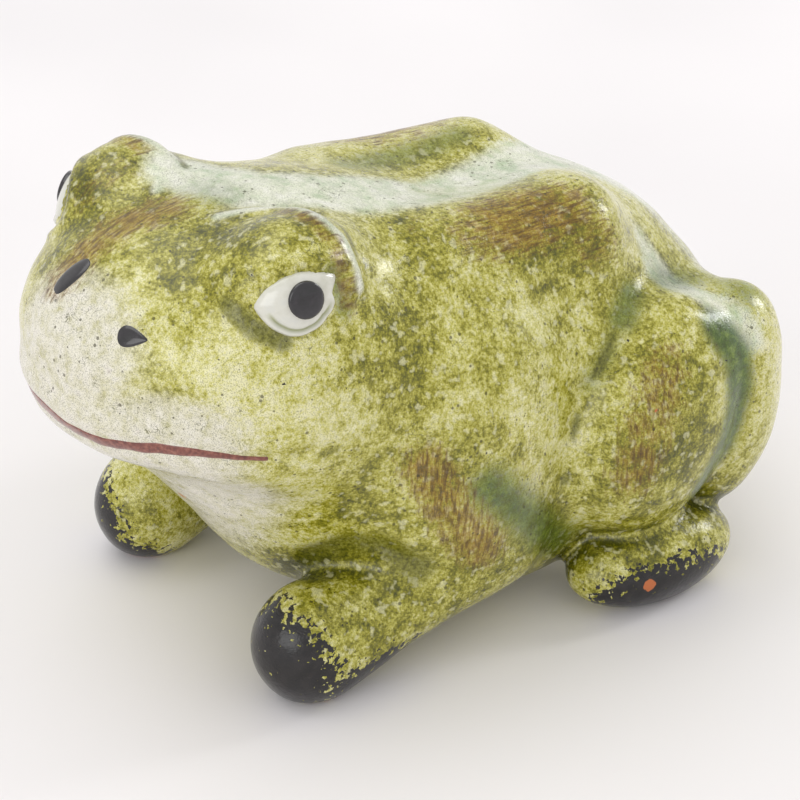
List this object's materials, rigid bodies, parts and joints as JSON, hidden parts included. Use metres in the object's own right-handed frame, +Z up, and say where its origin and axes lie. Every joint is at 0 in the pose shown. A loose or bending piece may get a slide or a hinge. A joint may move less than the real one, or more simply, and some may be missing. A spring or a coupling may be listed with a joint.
{
  "type": "glazed earthenware frog ornament",
  "caption": "Chunky hand-painted earthenware frog ornament with a hollow body, rounded limbs and raised enamel eyes, standing on its feet.",
  "frame": {"origin": "on the floor, under the middle of the frog's bounding box", "axes": "+Z up, -Y the way the frog faces, +X its left side"},
  "size_m": [0.094, 0.141, 0.0934],
  "materials": {
    "green_glaze": "sponged green glaze over cream slip, glossy",
    "white_enamel": "raised white enamel, glossy",
    "black_enamel": "black enamel, glossy",
    "brown_enamel": "red-brown enamel brush line"
  },
  "bodies": {
    "root": {"body_shell": "green_glaze", "belly_plate": "green_glaze", "left_brow": "green_glaze", "right_brow": "green_glaze", "left_upper_arm": "green_glaze", "right_upper_arm": "green_glaze", "left_forefoot": "green_glaze", "right_forefoot": "green_glaze", "left_thigh": "green_glaze", "right_thigh": "green_glaze", "left_shank": "green_glaze", "right_shank": "green_glaze", "left_hind_foot": "green_glaze", "right_hind_foot": "green_glaze", "left_eye_white": "white_enamel", "right_eye_white": "white_enamel", "left_pupil": "black_enamel", "right_pupil": "black_enamel", "left_nostril": "black_enamel", "right_nostril": "black_enamel", "mouth_line": "brown_enamel"}
  },
  "joints": []
}
